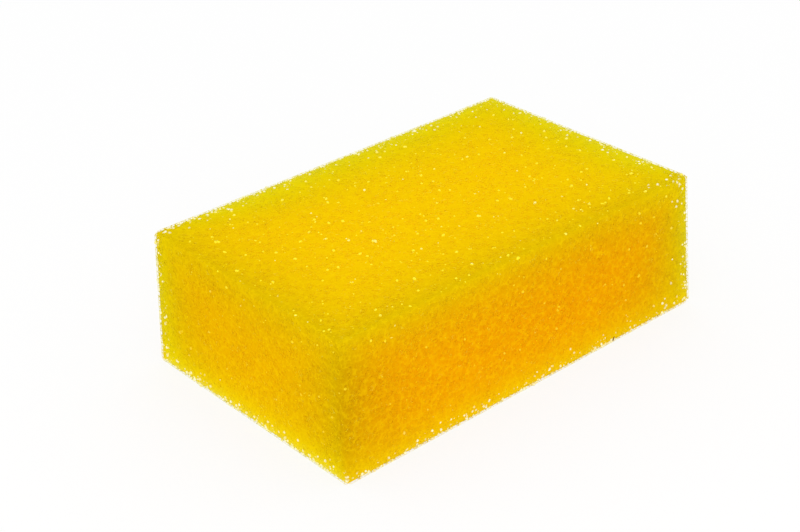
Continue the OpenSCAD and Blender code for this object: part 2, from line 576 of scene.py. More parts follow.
# %% Tree that turns edges into struts
def strut_tree():
    tree, given = new_group(
        "foam_struts", "GeometryNodeTree",
        [("Geometry", "Geometry"), ("Width", "Float"), ("Spread", "Float"),
         ("Seed", "Int"), ("Material", "Material")],
        [("Geometry", "Geometry")])
    ends = add(tree, "GeometryNodeInputMeshEdgeVertices").outputs
    run = vector_calc(tree, "SUBTRACT", ends["Position 2"], ends["Position 1"])
    capture = add(tree, "GeometryNodeCaptureAttribute", domain="EDGE")
    capture.capture_items.new("VECTOR", "Run")
    tree.links.new(given["Geometry"], capture.inputs["Geometry"])
    tree.links.new(run, capture.inputs["Run"])
    run = capture.outputs["Run"]
    spots = add(tree, "GeometryNodeMeshToPoints", {"Mesh": capture.outputs["Geometry"]}, mode="EDGES")

    splinter = add(tree, "GeometryNodeJoinGeometry")
    for start, across in (((-0.5, 0, -0.5), (1, 0, 0)), ((0, -0.5, 0.5), (0, 1, 0))):
        line = add(tree, "GeometryNodeMeshLine",
                   {"Count": 2, "Start Location": start, "Offset": across}, mode="OFFSET")
        tree.links.new(line.outputs[0], splinter.inputs[0])
    splinter = add(tree, "GeometryNodeConvexHull", {0: splinter.outputs[0]})

    angle = random_number(tree, 0.0, 2 * math.pi, given["Seed"])
    roll = add(tree, "FunctionNodeAxisAngleToRotation", {"Axis": (0, 0, 1), "Angle": angle})
    along = add(tree, "FunctionNodeAlignRotationToVector", {"Vector": run}, axis="Z")
    rolled = add(tree, "FunctionNodeRotateRotation",
                 {"Rotation": along.outputs[0], "Rotate By": roll.outputs[0]}, rotation_space="LOCAL")
    least = calc(tree, "SUBTRACT", 1.0, given["Spread"])
    most = calc(tree, "ADD", 1.0, given["Spread"])
    width = random_number(tree, least, most, calc(tree, "ADD", given["Seed"], 1.0))
    width = calc(tree, "MULTIPLY", width, given["Width"])
    size = add(tree, "ShaderNodeCombineXYZ",
               {"X": width, "Y": width, "Z": vector_calc(tree, "LENGTH", run)})
    struts = add(tree, "GeometryNodeInstanceOnPoints",
                 {"Points": spots.outputs[0], "Instance": splinter.outputs[0],
                  "Rotation": rolled.outputs[0], "Scale": size.outputs[0]})
    return finished(tree, struts.outputs[0], given["Material"])


STRUT_TREE = strut_tree()


# %% [markdown]
# ## Skins by Geometry Nodes
# A few windows between cells still hold their film, or a torn crescent of it. They catch
# the light as pale glints, whose pale colour is painted on as a highlight. The tree takes
# flat many-sided faces, pushes a copy of each out by the film's thickness, which also makes
# its rim, and joins the turned-over original as the back.

# %% Tree that gives flat faces a thickness
WELD = 0.0001 * MM        # points nearer to each other than this become one


def skin_tree():
    tree, given = new_group(
        "cell_skins", "GeometryNodeTree",
        [("Geometry", "Geometry"), ("Thickness", "Float"), ("Material", "Material")],
        [("Geometry", "Geometry")])
    pushed = add(tree, "GeometryNodeExtrudeMesh",
                 {"Mesh": given["Geometry"], "Offset Scale": given["Thickness"], "Individual": True},
                 mode="FACES")
    back = add(tree, "GeometryNodeFlipFaces", {0: given["Geometry"]})
    both = add(tree, "GeometryNodeJoinGeometry", {0: pushed.outputs["Mesh"]})
    tree.links.new(back.outputs[0], both.inputs[0])
    closed = add(tree, "GeometryNodeMergeByDistance", {"Geometry": both.outputs[0], "Distance": WELD})
    return finished(tree, closed.outputs[0], given["Material"])


SKIN_TREE = skin_tree()


# %% [markdown]
# ## Beads by Geometry Nodes
# The saw left lumps on the ends of the struts, and here and there a drop of film dried as
# a small shiny bead. All are the same shape, a ball drawn out a little and turned at
# random, so one tree makes them all. The sizes are random between two limits, and a power
# makes the small ones the most common. There are thousands of them, so each has fewer
# than twenty faces.

# %% Tree that puts a bead on each point
def bead_tree():
    tree, given = new_group(
        "foam_beads", "GeometryNodeTree",
        [("Geometry", "Geometry"), ("Segments", "Int"), ("Rings", "Int"), ("Least", "Float"),
         ("Most", "Float"), ("Skew", "Float"), ("Stretch", "Float"), ("Seed", "Int"),
         ("Material", "Material")],
        [("Geometry", "Geometry")])

    def chance(least, most, step):
        return random_number(tree, least, most, calc(tree, "ADD", given["Seed"], float(step)))

    ball = add(tree, "GeometryNodeMeshUVSphere",
               {"Segments": given["Segments"], "Rings": given["Rings"], "Radius": 1.0})
    growth = calc(tree, "POWER", chance(0.0, 1.0, 0), given["Skew"])
    size = calc(tree, "ADD", given["Least"],
                calc(tree, "MULTIPLY", growth, calc(tree, "SUBTRACT", given["Most"], given["Least"])))
    long = calc(tree, "MULTIPLY", size, chance(1.0, given["Stretch"], 1))
    scale = add(tree, "ShaderNodeCombineXYZ", {"X": size, "Y": size, "Z": long})
    turns = {axis: chance(0.0, 2 * math.pi, step) for step, axis in enumerate("XYZ", 2)}
    turns = add(tree, "ShaderNodeCombineXYZ", turns)
    beads = add(tree, "GeometryNodeInstanceOnPoints",
                {"Points": given["Geometry"], "Instance": ball.outputs["Mesh"],
                 "Rotation": turns.outputs[0], "Scale": scale.outputs[0]})
    smooth = add(tree, "GeometryNodeSetShadeSmooth",
                 {"Geometry": beads.outputs[0], "Shade Smooth": True})
    return finished(tree, smooth.outputs[0], given["Material"])


BEAD_TREE = bead_tree()

# %% [markdown]
# ## Core by Geometry Nodes
# Behind the lace the cells go on, too deep to see one by one. The core is a box whose faces
# are a fine grid, gathered a little towards the edges. Every point is first pulled back
# inside by the rounding, then pushed out again by the same length: on a flat part nothing
# changes, and along an edge it makes a round. A bevel would do that too, but here the
# rounding can grow from the dense edges to the airy ones. This tree is long, so it is
# built by three functions, each of which adds its own nodes.

# %% Core, first part: a box of fine faces with rounded edges
def rounded_box(tree, given):
    """The box, and for each of its points where it goes and which way is outwards."""
    inset = on_each_axis(tree, calc(tree, "MULTIPLY", given["Inset"], 2.0))
    size = vector_calc(tree, "SUBTRACT", given["Size"], inset)
    counts = vector_calc(tree, "DIVIDE", size, on_each_axis(tree, given["Grid"]))
    counts = add(tree, "ShaderNodeSeparateXYZ", {0: counts}).outputs
    counts = {"Vertices " + axis: counts[axis] for axis in "XYZ"}
    box = add(tree, "GeometryNodeMeshCube", {"Size": size, **counts})

    half = vector_calc(tree, "MULTIPLY", size, (0.5, 0.5, 0.5))
    even = vector_calc(tree, "DIVIDE", add(tree, "GeometryNodeInputPosition").outputs[0], half)
    curved = vector_calc(tree, "SINE", vector_calc(tree, "MULTIPLY", even, (math.pi / 2,) * 3))
    gather = add(tree, "ShaderNodeMix",
                 {"Factor": given["Gather"], 4: even, 5: curved}, data_type="VECTOR")
    place = vector_calc(tree, "MULTIPLY", gather.outputs[1], half)

    share = vector_calc(tree, "DIVIDE", place, given["Size"])
    across = vector_calc(tree, "DOT_PRODUCT", share, (1, 1, 0))
    back = calc(tree, "ADD", calc(tree, "DIVIDE", across, BACK_FADE), 1.0)
    above = vector_calc(tree, "DOT_PRODUCT", vector_calc(tree, "ADD", place, half), (0, 0, 1))
    low = calc(tree, "SUBTRACT", 1.0, calc(tree, "DIVIDE", above, given["Foot"]))
    airy = add(tree, "ShaderNodeClamp", {"Value": calc(tree, "MAXIMUM", back, low)}).outputs[0]
    more = calc(tree, "MULTIPLY", airy, calc(tree, "SUBTRACT", given["Airy Round"], given["Round"]))
    rounding = on_each_axis(tree, calc(tree, "ADD", given["Round"], more))
    inner = vector_calc(tree, "SUBTRACT", half, rounding)
    outer = vector_calc(tree, "MULTIPLY", inner, (-1.0, -1.0, -1.0))
    pulled = vector_calc(tree, "MAXIMUM", vector_calc(tree, "MINIMUM", place, inner), outer)
    outward = vector_calc(tree, "NORMALIZE", vector_calc(tree, "SUBTRACT", place, pulled))
    surface = vector_calc(tree, "ADD", pulled, vector_calc(tree, "MULTIPLY", outward, rounding))
    return box.outputs[0], surface, outward


# %% [markdown]
# Now the sides are leant in like the block's. A point's height gives how far each side is
# drawn in there, and X and Y shrink by that share of the block's length and width.

# %% Core, second part: sides that lean in
def leant_in(tree, given, surface):
    parts = add(tree, "ShaderNodeSeparateXYZ", {0: surface}).outputs
    block = add(tree, "ShaderNodeSeparateXYZ", {0: given["Size"]}).outputs
    level = calc(tree, "ADD", calc(tree, "DIVIDE", parts["Z"], block["Z"]), 0.5)
    drawn_in = calc(tree, "MULTIPLY", calc(tree, "MULTIPLY", level, given["Lean"]), -2.0)
    leant = add(tree, "ShaderNodeCombineXYZ", {
        axis: calc(tree, "MULTIPLY", parts[axis],
                   calc(tree, "ADD", 1.0, calc(tree, "DIVIDE", drawn_in, block[axis])))
        for axis in "XY"})
    lifted = calc(tree, "MULTIPLY", level, block["Z"])
    tree.links.new(lifted, leant.inputs["Z"])
    return leant.outputs[0]


# %% [markdown]
# The outward direction also serves to press pits in. The middles of the froth's own cells
# come in as points. For each point of the grid the nearest one is sampled, and how deep a
# ball round it would reach gives the pit, deeper where the cell is an open one. So the
# pits lie under the struts where they belong.

# %% Core, third part: pits under the froth's own cells
def pit_depth(tree, given, place, outward):
    nearest = add(tree, "GeometryNodeSampleNearest",
                  {"Geometry": given["Geometry"], "Sample Position": place}, domain="POINT").outputs[0]
    middle = add(tree, "GeometryNodeSampleIndex",
                 {"Geometry": given["Geometry"], "Index": nearest,
                  "Value": add(tree, "GeometryNodeInputPosition").outputs[0]},
                 data_type="FLOAT_VECTOR", domain="POINT").outputs[0]
    to_middle = vector_calc(tree, "SUBTRACT", middle, place)
    above = vector_calc(tree, "DOT_PRODUCT", to_middle, outward)
    aside = calc(tree, "SUBTRACT", vector_calc(tree, "DOT_PRODUCT", to_middle, to_middle),
                 calc(tree, "MULTIPLY", above, above))
    cell_squared = calc(tree, "MULTIPLY", given["Cell Radius"], given["Cell Radius"])
    floor = calc(tree, "SQRT", calc(tree, "MAXIMUM", calc(tree, "SUBTRACT", cell_squared, aside), 0.0))
    hollow = calc(tree, "DIVIDE", calc(tree, "SUBTRACT", floor, above), given["Cell Radius"])
    hollow = add(tree, "ShaderNodeClamp", {"Value": hollow}).outputs[0]

    opened = add(tree, "GeometryNodeSampleIndex",
                 {"Geometry": given["Geometry"], "Index": nearest,
                  "Value": add(tree, "GeometryNodeInputNamedAttribute", {"Name": "Open"}).outputs[0]},
                 data_type="FLOAT", domain="POINT").outputs[0]
    dimple = add(tree, "ShaderNodeMix",
                 {"Factor": opened, 2: given["Dimple"], 3: given["Open Dimple"]}).outputs[0]
    return calc(tree, "MULTIPLY", hollow, dimple)


# %% Tree that makes the core
def core_tree():
    tree, given = new_group(
        "foam_core", "GeometryNodeTree",
        [("Geometry", "Geometry"), ("Size", "Vector"), ("Lean", "Float"), ("Inset", "Float"),
         ("Round", "Float"), ("Airy Round", "Float"), ("Foot", "Float"), ("Grid", "Float"),
         ("Cell Radius", "Float"), ("Dimple", "Float"), ("Open Dimple", "Float"), ("Gather", "Float"),
         ("Material", "Material")],
        [("Geometry", "Geometry")])
    box, surface, outward = rounded_box(tree, given)
    place = leant_in(tree, given, surface)
    inward = calc(tree, "MULTIPLY", pit_depth(tree, given, place, outward), -1.0)
    push = add(tree, "ShaderNodeVectorMath", {0: outward, "Scale": inward}, operation="SCALE").outputs[0]
    pitted = vector_calc(tree, "ADD", place, push)
    shaped = add(tree, "GeometryNodeSetPosition", {"Geometry": box, "Position": pitted})
    smooth = add(tree, "GeometryNodeSetShadeSmooth",
                 {"Geometry": shaped.outputs[0], "Shade Smooth": True})
    return finished(tree, smooth.outputs[0], given["Material"])


CORE_TREE = core_tree()


# %% [markdown]
# ## Colour of foam
# The foam is dyed one yellow all through, yet it looks green-yellow along its edges, gold in
# the middle of the top and orange in the middle of the sides. The dye takes out a little
# more green each time light crosses it, so the longer the way through the foam, the more
# orange the light that comes back. The way is short near an edge. It is longest on the
# sides, which get much of their light from the top, through the block.
#
# A real simulation of light in a million struts takes hours. Instead one shader node group
# works out masks from the place of a point in the block, and every foam material mixes its
# colours with them: the light and shade are painted in. Edge is 1 along any edge and fades
# inwards, for the painted shade and green of the edges. Glow is the same for the edges that
# have light behind them, a painted backlight, and Foot for the foot, painted as lit by the
# floor. Sheer is the narrow band in which one looks right through the foam, painted as the
# light seen through it. Below Top tells the sides from the top, and Short Side the short
# ones from the long ones, each with a soft change.

# %% Node group for the masks
TOP_SQUEEZE = 1.5         # how much narrower the bands along the top's edges are on the sides
SIDE_SPREAD = 0.25        # how much further the edges' own colour reaches on the sides
CORNER_REACH = 1.7        # reach of a corner, against the reach of an edge
CORNER_SHARE = 0.2        # part of the edges' colour that is left to the corners
SIDE_CHANGE = 4 * MM      # width of the soft change from a long side to a short one
SHEER_POWER = 6.0         # how fast the sheer band fades, against the glow it is made from
SHEER_TOP, SHEER_SIDE = 0.14, 0.12
SHEER_FOOT_POWER = 6.4
SHEER_FOOT_LONG, SHEER_FOOT_SHORT = 0.06, 0.60


def depth_group():
    group, given = new_group(
        "foam_depth", "ShaderNodeTree",
        [("Length", "Float"), ("Width", "Float"), ("Height", "Float"), ("Lean", "Float"),
         ("Edge Reach", "Float"), ("Glow Reach", "Float"), ("Top Reach", "Float"),
         ("Foot Reach", "Float")],
        [("Edge", "Float"), ("Glow", "Float"), ("Foot", "Float"), ("Sheer", "Float"),
         ("Below Top", "Float"), ("Short Side", "Float")])
    place = add(group, "ShaderNodeTexCoord").outputs["Object"]
    parts = add(group, "ShaderNodeSeparateXYZ", {0: place}).outputs
    level = calc(group, "DIVIDE", parts["Z"], given["Height"])
    lean = calc(group, "MULTIPLY", level, given["Lean"])

    def to_side(part, size):
        half = calc(group, "SUBTRACT", calc(group, "MULTIPLY", size, 0.5), lean)
        return calc(group, "SUBTRACT", half, calc(group, "ABSOLUTE", part))

    x, y = to_side(parts["X"], given["Length"]), to_side(parts["Y"], given["Width"])
    from_top = calc(group, "SUBTRACT", given["Height"], parts["Z"])
    z = calc(group, "MULTIPLY", from_top, TOP_SQUEEZE)
    nearest = calc(group, "MINIMUM", calc(group, "MINIMUM", x, y), z)
    farthest = calc(group, "MAXIMUM", calc(group, "MAXIMUM", x, y), z)
    total = calc(group, "ADD", calc(group, "ADD", x, y), z)
    to_edge = calc(group, "SUBTRACT", calc(group, "SUBTRACT", total, nearest), farthest)

    def fading(distance, reach):
        shares = calc(group, "DIVIDE", calc(group, "MULTIPLY", distance, -1.0), reach)
        return calc(group, "EXPONENT", shares)

    def between(mask, at_0, at_1):
        """A number that goes evenly from at_0 to at_1 with a mask."""
        return calc(group, "ADD", at_0, calc(group, "MULTIPLY", mask, at_1 - at_0))

    above = fading(from_top, given["Top Reach"])
    below = calc(group, "SUBTRACT", 1.0, above)
    across = calc(group, "ADD", calc(group, "DIVIDE", parts["X"], given["Length"]),
                  calc(group, "DIVIDE", parts["Y"], given["Width"]))
    across = calc(group, "SUBTRACT", across, calc(group, "MULTIPLY", above, TOP_LAG))
    backlit = add(group, "ShaderNodeMapRange",
                  {"Value": across, "From Min": -GLOW_FADE, "From Max": 0.0}).outputs[0]

    # Edge paints shade along the edges, Glow paints the backlight on the airy ones, and Foot paints the
    # light from the floor.
    reach = calc(group, "MULTIPLY", given["Edge Reach"], between(below, 1.0, 1.0 + SIDE_SPREAD))
    corner = fading(farthest, calc(group, "MULTIPLY", given["Edge Reach"], CORNER_REACH))
    edge = calc(group, "MULTIPLY", fading(to_edge, reach), between(corner, 1.0 - CORNER_SHARE, 1.0))
    glow = calc(group, "MULTIPLY", fading(to_edge, given["Glow Reach"]), backlit)
    foot = fading(parts["Z"], given["Foot Reach"])

    short = calc(group, "MULTIPLY", calc(group, "SUBTRACT", y, x), 1 / SIDE_CHANGE)
    short = add(group, "ShaderNodeClamp", {"Value": short}).outputs[0]
    # Sheer paints in the light seen through the foam near the airy edges and at the foot.
    sheer = calc(group, "MULTIPLY", calc(group, "POWER", glow, SHEER_POWER),
                 between(below, SHEER_TOP, SHEER_SIDE))
    sheer_foot = calc(group, "MULTIPLY", calc(group, "POWER", foot, SHEER_FOOT_POWER),
                      between(short, SHEER_FOOT_LONG, SHEER_FOOT_SHORT))
    sheer = calc(group, "MAXIMUM", sheer, sheer_foot)
    add(group, "NodeGroupOutput",
        {"Edge": edge, "Glow": glow, "Foot": foot, "Sheer": sheer, "Below Top": below,
         "Short Side": short})
    return group


DEPTH_GROUP = depth_group()
mask_names = [item.name for item in DEPTH_GROUP.interface.items_tree if item.in_out == "OUTPUT"]
print(DEPTH_GROUP.name, "gives", mask_names)

# %% [markdown]
# Foam is uneven from cell to cell. A Voronoi texture of the same cell size gives two things
# for this: how near a point lies to the rim of its cell, and a number for each cell that
# is its own chance, from 0 to 1.

# %% Node group for the open cells
RIM_FROM, RIM_TO = 0.15, 0.75   # where the rim of a cell starts and is full, in cells from its middle


def cell_group():
    group, given = new_group(
        "open_cells", "ShaderNodeTree",
        [("Cell", "Float")],
        [("Rim", "Float"), ("Chance", "Float")])
    place = add(group, "ShaderNodeTexCoord").outputs["Object"]
    cells = add(group, "ShaderNodeTexVoronoi",
                {"Vector": place, "Scale": calc(group, "DIVIDE", 1.0, given["Cell"])})
    rim = add(group, "ShaderNodeMapRange",
              {"Value": cells.outputs["Distance"], "From Min": RIM_FROM, "From Max": RIM_TO},
              interpolation_type="SMOOTHSTEP")
    chance = add(group, "ShaderNodeSeparateColor", {0: cells.outputs["Color"]})
    add(group, "NodeGroupOutput", {"Rim": rim.outputs[0], "Chance": chance.outputs[0]})
    return group


CELL_GROUP = cell_group()
print(CELL_GROUP.name, "is a group of", len(CELL_GROUP.nodes), "nodes")

# %% [markdown]
# ## Materials
# Each material is one Principled shader whose base colour is mixed from the masks. The
# numbers that stay the same all over, such as the roughness, sit on the shader itself.
# Colours are written the way a screen shows them, and turned into the linear values that
# shaders reckon with.

# %% Helpers for materials
def dye(red, green, blue):
    """A colour given as it looks on a screen, 0 to 255, in the linear values that shaders use."""
    shares = (value / 255 for value in (red, green, blue))
    return (*(s / 12.92 if s <= 0.04045 else ((s + 0.055) / 1.055) ** 2.4 for s in shares), 1)


def blended(tree, share, first, second):
    """Colour between first, where share is 0, and second, where it is 1."""
    mix = add(tree, "ShaderNodeMix", {"Factor": share, 6: first, 7: second}, data_type="RGBA")
    return mix.outputs[2]


def rising(tree, value, least, most, at_least=0.0, at_most=1.0):
    """A number that goes from at_least to at_most while the value goes from least to most."""
    span = {"Value": value, "From Min": least, "From Max": most, "To Min": at_least, "To Max": at_most}
    return add(tree, "ShaderNodeMapRange", span).outputs[0]


def new_material(name, roughness, specular):
    material = bpy.data.materials.new(name)
    material.use_nodes = True
    shader = material.node_tree.nodes["Principled BSDF"]
    shader.inputs["Roughness"].default_value = roughness
    shader.inputs["Specular IOR Level"].default_value = specular
    return material, material.node_tree, shader


def open_cells(tree, cell):
    return add(tree, "ShaderNodeGroup", {"Cell": cell}, node_tree=CELL_GROUP).outputs


# %% [markdown]
# All foam shares one set of colours, and most of them are light and shade painted in. The
# top, the long sides and the short sides each have a colour for their middle, gold on the
# top and orange on the sides for light that has crossed the block, one for their edges,
# darker as painted shade, and one for edges with light behind them, as painted backlight.
# The upright sides have one for the foot, painted as lit by the floor. The last two are
# painted light too: the band one sees through, and the white dots.

# %% The foam's colour
DEPTH_SIZES = {
    "Length": LENGTH, "Width": WIDTH, "Height": HEIGHT, "Lean": LEAN,
    "Edge Reach": 15 * MM, "Glow Reach": 13 * MM, "Top Reach": 7 * MM, "Foot Reach": 7 * MM}
# Middles: gold on the top and orange on the sides, painted for the light that crossed the block.
TOP, SIDE, END = dye(245, 198, 3), dye(236, 153, 1), dye(234, 173, 1)
# Edges: darker and greener, painted shade and the short way of light near an edge.
TOP_EDGE_SHADE, SIDE_EDGE_SHADE, END_EDGE_SHADE = dye(213, 178, 2), dye(189, 147, 1), dye(188, 156, 1)
# Glow: painted backlight along the edges with light behind them.
TOP_GLOW, SIDE_GLOW, END_GLOW = dye(224, 215, 7), dye(213, 199, 7), dye(225, 212, 8)
# Foot: paler, painted light from the floor.
SIDE_FOOT_LIGHT, END_FOOT_LIGHT = dye(236, 203, 4), dye(240, 226, 5)
# Sheer: painted light seen through the foam along the airy edges and at the foot.
SEE_THROUGH_LIGHT = dye(226, 214, 105)
# White of the dots and edge skins: painted backlight.
PAINTED_BACKLIGHT_WHITE = dye(255, 253, 212)


def foam_depth(tree):
    return add(tree, "ShaderNodeGroup", DEPTH_SIZES, node_tree=DEPTH_GROUP).outputs


def foam_colour_and_light(tree, masks):
    """The foam's colour from where it lies in the block, with light and shade painted in."""
    sides = blended(tree, masks["Short Side"], SIDE, END)
    middle = blended(tree, masks["Below Top"], TOP, sides)
    side_edges = blended(tree, masks["Short Side"], SIDE_EDGE_SHADE, END_EDGE_SHADE)
    edge = blended(tree, masks["Below Top"], TOP_EDGE_SHADE, side_edges)
    colour = blended(tree, masks["Edge"], middle, edge)
    side_glow = blended(tree, masks["Short Side"], SIDE_GLOW, END_GLOW)
    glow = blended(tree, masks["Below Top"], TOP_GLOW, side_glow)
    colour = blended(tree, masks["Glow"], colour, glow)
    foot = blended(tree, masks["Short Side"], SIDE_FOOT_LIGHT, END_FOOT_LIGHT)
    colour = blended(tree, masks["Foot"], colour, foot)
    return blended(tree, masks["Sheer"], colour, SEE_THROUGH_LIGHT)


# %% [markdown]
# Light loses the same share of itself in every bit of dyed foam it crosses, so the colour
# of a piece of half the thickness is the full colour to the power of a half. The Gamma
# node does just that. It makes the thin struts paler and yellower than the core, and
# doesn't turn them grey as mixing in white would. The paleness is partly the thin foam's
# own and partly painted light, which lifts the struts' shaded sides and makes lit specks.
# In a few cells the struts are paler still, as a painted sparkle.

# %% Struts, paler than the foam behind them, partly as painted light
# Below 1 the struts come out paler: partly thin foam, partly painted light on their shaded sides.
STRUT_DEPTH = 0.7         # how much dye light meets in a strut, where the core is 1
SPARKLE_DEPTH = 0.42        # the same in the cells with a painted sparkle
SPARKLE_FROM = 0.84         # the chance from which on the struts of a cell get a painted sparkle


def strut_material():
    material, tree, shader = new_material("foam_strut", roughness=0.5, specular=0.0)
    colour = foam_colour_and_light(tree, foam_depth(tree))
    chance = open_cells(tree, CELL)["Chance"]
    depth = rising(tree, chance, SPARKLE_FROM, 1.0, STRUT_DEPTH, SPARKLE_DEPTH)
    thin_and_lit = add(tree, "ShaderNodeGamma", {"Color": colour, "Gamma": depth}).outputs[0]
    tree.links.new(thin_and_lit, shader.inputs["Base Color"])
    return material


strut_finish = strut_material()
print("material", strut_finish.name)

# %% [markdown]
# A lump at the end of a strut is thicker than the strut, and catches the lamp. Paler foam
# would look like dust there, so lumps go from the foam's own colour to a clear, strong
# yellow, as the chance of their cell has it: a painted highlight.

# %% Lumps, from the foam's colour to a painted yellow highlight
LUMP_HIGHLIGHT = dye(255, 226, 14)


def lump_material():
    material, tree, shader = new_material("foam_lump", roughness=0.5, specular=0.0)
    colour = foam_colour_and_light(tree, foam_depth(tree))
    chance = open_cells(tree, CELL)["Chance"]
    tree.links.new(blended(tree, chance, colour, LUMP_HIGHLIGHT), shader.inputs["Base Color"])
    return material


lump_finish = lump_material()
print("material", lump_finish.name)

# %% [markdown]
# The core stands for everything under the outer layer. Its grid of faces is too coarse for
# the thin walls between its pits, so these are a bump in the material, and yellower than
# the pits: partly because thin foam is yellower, partly as a painted highlight on the
# walls against the pits left in painted shade.

# %% Core, with bumps for the cells too small for its grid
BUMP_CELL = 0.9 * CELL
BUMP_HEIGHT = 0.4 * MM
BUMP_STRENGTH = 0.35
# Wall yellow: partly thin foam, partly a painted highlight on the cell walls.
WALL_YELLOW = dye(255, 222, 6)
WALL_SHARE = 0.3          # how yellow the rims of the cells get at most


def core_material():
    material, tree, shader = new_material("foam_core", roughness=0.6, specular=0.0)
    colour = foam_colour_and_light(tree, foam_depth(tree))
    cells = open_cells(tree, BUMP_CELL)
    bump = add(tree, "ShaderNodeBump",
               {"Height": cells["Rim"], "Distance": BUMP_HEIGHT, "Strength": BUMP_STRENGTH})
    wall = calc(tree, "MULTIPLY", cells["Rim"], calc(tree, "MULTIPLY", cells["Chance"], WALL_SHARE))
    tree.links.new(blended(tree, wall, colour, WALL_YELLOW), shader.inputs["Base Color"])
    tree.links.new(bump.outputs[0], shader.inputs["Normal"])
    return material


core_finish = core_material()
print("material", core_finish.name)

# %% [markdown]
# Film is clear, so a skin or a glint shows the lamp more than the dye, and its colour is
# a painted highlight: pale yellow on the top, where the light strikes it flat, and closer to
# the foam's own colour on the sides. A few patches of the top have almost white ones. Along
# the airy edges the light behind is painted on them as white, and on the edge dots most of
# all, though not all of them alike.

# %% Skins, glints and edge dots, with painted highlights and backlight
# Film colours are painted highlights.
FILM_TOP_HIGHLIGHT, FILM_SIDE_HIGHLIGHT = dye(255, 238, 40), dye(255, 224, 22)
FILM_WHITE_HIGHLIGHT = dye(255, 252, 170)
FILM_PATCH = 2 * CELL     # size of the patches with one kind of film
WHITE_FROM = 0.86         # the chance from which on a patch has a white painted highlight
SIDE_LOSS = 0.9           # part of that white highlight which is lost on the sides
SIDE_TINT = 0.35          # how far film on the sides takes the foam's colour
# Powers that shape the painted backlight on skins and glints.
GLOW_POWER, FOOT_POWER = 3.0, 2.0
# Edge dots go from the foam's colour to painted backlight white, patch by patch.
DOT_PATCH = 0.7 * CELL
DULLEST_DOT, CLEAREST_DOT = 0.4, 1.05


def skin_material():
    material, tree, shader = new_material("cell_skin", roughness=0.3, specular=0.1)
    masks = foam_depth(tree)
    white = rising(tree, open_cells(tree, FILM_PATCH)["Chance"], WHITE_FROM, 1.0)
    kept = rising(tree, masks["Below Top"], 0.0, 1.0, 1.0, 1.0 - SIDE_LOSS)
    film_highlight = blended(tree, masks["Below Top"], FILM_TOP_HIGHLIGHT, FILM_SIDE_HIGHLIGHT)
    film_highlight = blended(tree, calc(tree, "MULTIPLY", white, kept), film_highlight, FILM_WHITE_HIGHLIGHT)
    tint = calc(tree, "MULTIPLY", masks["Below Top"], SIDE_TINT)
    film_highlight = blended(tree, tint, film_highlight, foam_colour_and_light(tree, masks))
    painted_backlight = calc(tree, "MAXIMUM", calc(tree, "POWER", masks["Glow"], GLOW_POWER),
                calc(tree, "POWER", masks["Foot"], FOOT_POWER))
    tree.links.new(blended(tree, painted_backlight, film_highlight, PAINTED_BACKLIGHT_WHITE), shader.inputs["Base Color"])
    return material


def dot_material():
    material, tree, shader = new_material("edge_dot", roughness=0.3, specular=0.1)
    chance = open_cells(tree, DOT_PATCH)["Chance"]
    backlight_share = rising(tree, chance, 0.0, 1.0, DULLEST_DOT, CLEAREST_DOT)
    colour = blended(tree, backlight_share, foam_colour_and_light(tree, foam_depth(tree)), PAINTED_BACKLIGHT_WHITE)
    tree.links.new(colour, shader.inputs["Base Color"])
    return material


skin_finish, dot_finish = skin_material(), dot_material()
print("materials", skin_finish.name, "and", dot_finish.name)

# %% [markdown]
# ## Making the pieces
# The outer layer has more struts than one piece should hold, so it is made in slices along
# the block, each with the same tree. All of it is one block of foam on the real object:
# every piece rides on the same body, and the imported block is hidden.

# %% Lattice and rims, in slices along the block
STRUT_SPREAD = 0.25       # how far the widths go up and down, as a share
pieces = []


def sliced(name, lines, slices, width):
    """Struts along the lines, in one piece for each slice of the block with an equal share."""
    middles = net_points[lines].mean(axis=1)[:, 0]
    slice_of = np.argsort(np.argsort(middles)) * slices // len(lines)
    for number in range(slices):
        used, edges = np.unique(lines[slice_of == number], return_inverse=True)
        mesh = plain_mesh("net", net_points[used].tolist(), edges.reshape(-1, 2).tolist())
        pieces.append(applied(
            "%s_%d" % (name, number + 1), mesh, STRUT_TREE, strut_finish,
            Width=width, Spread=STRUT_SPREAD, Seed=10 * number))


sliced("lattice", net, slices=3, width=STRUT)
sliced("rims", rims, slices=2, width=RIM)

# %% [markdown]
# Only windows close under the sawn sides get a skin: one in ten over most of the block, and
# nearly all of them along the airy edges, where the film closes the lace. More than half
# are torn. Of those a crescent is left: all points of the window's rim but one, and the
# same points again, drawn in half way to the window's middle.

# %% Skins left in a few windows
PALE_REACH = 2.4 * MM     # how far film is common, from an airy edge inwards
SKIN_SHARE = 0.10         # share of windows that kept their film
EDGE_SHARE = 0.90         # what is added to that share along the airy edges
SKIN_DEPTH = 0.5 * MM     # how deep under a sawn side the middle of such a window lies at most
SKIN_THICKNESS = 0.03 * MM
TORN_SHARE = 0.6          # of the skins, those of which only a crescent is left
CRESCENT = 0.5            # where a crescent's inner rim lies, from the middle to the window's rim


def pale_share(places, reach):
    """1 along the airy edges, fading to 0 away from them."""
    return np.exp(-np.sort(side_depths(places), axis=-1)[..., 1] / reach) * airy(places)


